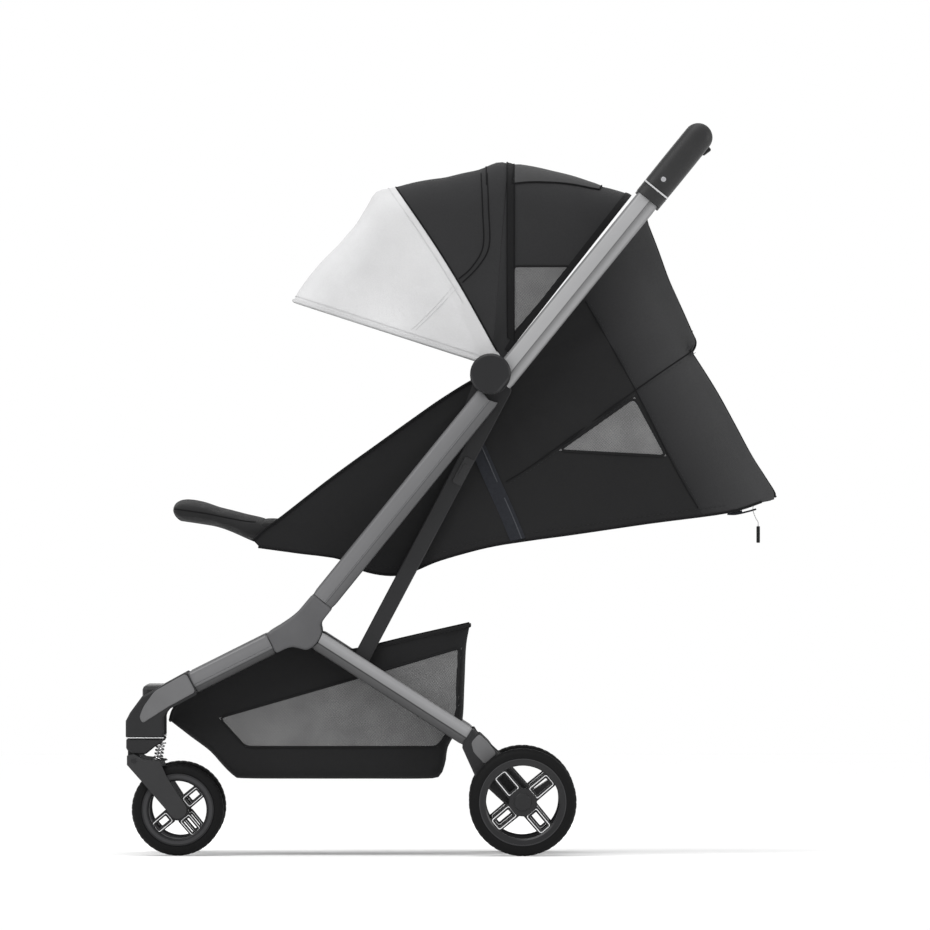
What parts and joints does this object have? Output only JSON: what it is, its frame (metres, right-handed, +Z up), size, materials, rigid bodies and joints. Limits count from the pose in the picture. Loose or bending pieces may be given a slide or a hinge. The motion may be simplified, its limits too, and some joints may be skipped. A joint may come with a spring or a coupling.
{
  "type": "baby stroller",
  "caption": "Folding pushchair with four small wheels, grey oval frame, dark cloth body, light fold-out sun visor and an under-seat basket.",
  "frame": {"origin": "middle of the footprint at floor level, under the centre of the stroller's box", "axes": "-X is the front of the stroller, +X the handle end, -Y the left side, +Z up"},
  "size_m": [0.9164, 0.47, 1.0324],
  "materials": {
    "tube_grey": "satin anodised grey",
    "grey_plastic": "satin",
    "dark_plastic": "satin black",
    "spring_steel": "bright",
    "tyre_black": "matte foam rubber",
    "rim_black": "gloss black with bright edges",
    "cloth_black": "woven polyester",
    "cloth_dark_grey": "woven polyester",
    "cloth_light_grey": "thin woven sun cloth",
    "foam_black": "stitched cover over foam",
    "strap_black": "webbing",
    "tag_white": "woven tape"
  },
  "bodies": {
    "chassis": {"lower_tube_left": "tube_grey", "lower_tube_right": "tube_grey", "knuckle_left": "grey_plastic", "knuckle_right": "grey_plastic", "front_leg_left": "tube_grey", "front_leg_right": "tube_grey", "front_housing_left": "dark_plastic", "front_housing_right": "dark_plastic", "fold_hub_left": "dark_plastic", "fold_hub_right": "dark_plastic", "seat_bar": "tube_grey", "front_crossbar": "dark_plastic", "hood_side_left": "cloth_black", "hood_side_right": "cloth_black", "hood_back": "cloth_dark_grey", "canopy_rear": "cloth_dark_grey", "seat_board": "cloth_black", "seat_cushion": "cloth_black", "harness_buckle": "dark_plastic", "basket": "cloth_black", "tag_cord": "tag_white", "hang_tag": "strap_black"},
    "handle_frame": {"upper_tube_left": "tube_grey", "upper_tube_right": "tube_grey", "handle_arm_left": "dark_plastic", "handle_arm_right": "dark_plastic", "handlebar": "foam_black"},
    "fold_button": {"fold_button": "grey_plastic"},
    "rear_legs": {"rear_leg_left": "tube_grey", "rear_leg_right": "tube_grey", "rear_bracket_left": "dark_plastic", "rear_bracket_right": "dark_plastic", "rear_axle": "spring_steel"},
    "struts": {"strut_left": "dark_plastic", "strut_right": "dark_plastic"},
    "brake": {"brake_bar": "dark_plastic"},
    "bow_rear": {"canopy_bow_rear": "spring_steel"},
    "bow_middle": {"canopy_bow_middle": "spring_steel", "canopy_roof": "cloth_dark_grey"},
    "bow_front": {"canopy_bow_front": "spring_steel", "visor": "cloth_light_grey"},
    "backrest": {"backrest": "cloth_black", "harness_strap_left": "strap_black", "harness_strap_right": "strap_black"},
    "leg_rest": {"leg_rest": "cloth_black"},
    "caster_left": {"caster_cup_left": "dark_plastic"},
    "front_fork_left": {"fork_left": "dark_plastic", "fork_spring_left": "spring_steel"},
    "front_wheel_left": {"front_tyre_left": "tyre_black", "front_rim_left": "rim_black"},
    "rear_wheel_left": {"rear_tyre_left": "tyre_black", "rear_rim_left": "rim_black"},
    "caster_right": {"caster_cup_right": "dark_plastic"},
    "front_fork_right": {"fork_right": "dark_plastic", "fork_spring_right": "spring_steel"},
    "front_wheel_right": {"front_tyre_right": "tyre_black", "front_rim_right": "rim_black"},
    "rear_wheel_right": {"rear_tyre_right": "tyre_black", "rear_rim_right": "rim_black"}
  },
  "joints": [
    {"name": "handle_fold", "type": "hinge", "parent": "chassis", "child": "handle_frame", "pos_m": [0.0557, 0, 0.6789], "axis": [0, -1, 0], "range_deg": [0, 172], "deforming": ["leg_rest"]},
    {"name": "rear_leg_fold", "type": "hinge", "parent": "chassis", "child": "rear_legs", "pos_m": [-0.2129, 0, 0.3194], "axis": [0, 1, 0], "range_deg": [0, 62]},
    {"name": "strut_swing", "type": "hinge", "parent": "rear_legs", "child": "struts", "pos_m": [-0.1332, 0, 0.2652], "axis": [0, -1, 0], "range_deg": [0, 56.26]},
    {"name": "fold_button_press", "type": "slide", "parent": "handle_frame", "child": "fold_button", "axis": [-0.6018, 0, 0.7986], "range_m": [0, 0.004], "stiffness_N_per_m": 300, "springref_m": -0.004},
    {"name": "brake_press", "type": "hinge", "parent": "rear_legs", "child": "brake", "pos_m": [0.101, 0, 0.076], "axis": [0, 1, 0], "range_deg": [0, 25]},
    {"name": "recline", "type": "hinge", "parent": "chassis", "child": "backrest", "pos_m": [-0.0719, 0, 0.4139], "axis": [0, -1, 0], "range_deg": [0, 50]},
    {"name": "leg_rest_tilt", "type": "hinge", "parent": "chassis", "child": "leg_rest", "pos_m": [-0.276, 0, 0.446], "axis": [0, -1, 0], "range_deg": [0, 60]},
    {"name": "canopy_fold", "type": "hinge", "parent": "chassis", "child": "bow_rear", "pos_m": [0.0557, 0, 0.6789], "axis": [0, 1, 0], "range_deg": [0, 25.3], "deforming": ["canopy_rear", "canopy_roof"]},
    {"name": "bow_middle_fold", "type": "hinge", "parent": "bow_rear", "child": "bow_middle", "pos_m": [0.0557, 0, 0.6789], "axis": [0, 1, 0], "range_deg": [0, 27.5]},
    {"name": "visor_fold", "type": "hinge", "parent": "bow_middle", "child": "bow_front", "pos_m": [0.0557, 0, 0.6789], "axis": [0, 1, 0], "range_deg": [0, 37.6], "deforming": ["visor"]},
    {"name": "caster_swivel_left", "type": "hinge", "parent": "chassis", "child": "caster_left", "pos_m": [-0.4336, -0.183, 0.15], "axis": [0, 0, 1], "continuous": true},
    {"name": "suspension_left", "type": "hinge", "parent": "caster_left", "child": "front_fork_left", "pos_m": [-0.4467, -0.183, 0.1342], "axis": [0, -1, 0], "range_deg": [0, 8], "stiffness_Nm_per_rad": 20, "springref_deg": -5.73, "deforming": ["fork_spring_left"]},
    {"name": "front_wheel_spin_left", "type": "hinge", "parent": "front_fork_left", "child": "front_wheel_left", "pos_m": [-0.385, -0.183, 0.065], "axis": [0, 1, 0], "continuous": true},
    {"name": "rear_wheel_spin_left", "type": "hinge", "parent": "rear_legs", "child": "rear_wheel_left", "pos_m": [0.101, -0.222, 0.076], "axis": [0, 1, 0], "continuous": true},
    {"name": "caster_swivel_right", "type": "hinge", "parent": "chassis", "child": "caster_right", "pos_m": [-0.4336, 0.183, 0.15], "axis": [0, 0, 1], "continuous": true},
    {"name": "suspension_right", "type": "hinge", "parent": "caster_right", "child": "front_fork_right", "pos_m": [-0.4467, 0.183, 0.1342], "axis": [0, -1, 0], "range_deg": [0, 8], "stiffness_Nm_per_rad": 20, "springref_deg": -5.73, "deforming": ["fork_spring_right"]},
    {"name": "front_wheel_spin_right", "type": "hinge", "parent": "front_fork_right", "child": "front_wheel_right", "pos_m": [-0.385, 0.183, 0.065], "axis": [0, 1, 0], "continuous": true},
    {"name": "rear_wheel_spin_right", "type": "hinge", "parent": "rear_legs", "child": "rear_wheel_right", "pos_m": [0.101, 0.222, 0.076], "axis": [0, 1, 0], "continuous": true}
  ],
  "couplings": [
    {"joint": "rear_leg_fold", "follows": "handle_fold", "ratio": 0.36046},
    {"joint": "strut_swing", "follows": "handle_fold", "ratio": 0.32709},
    {"joint": "bow_middle_fold", "follows": "canopy_fold", "ratio": 1.087}
  ]
}
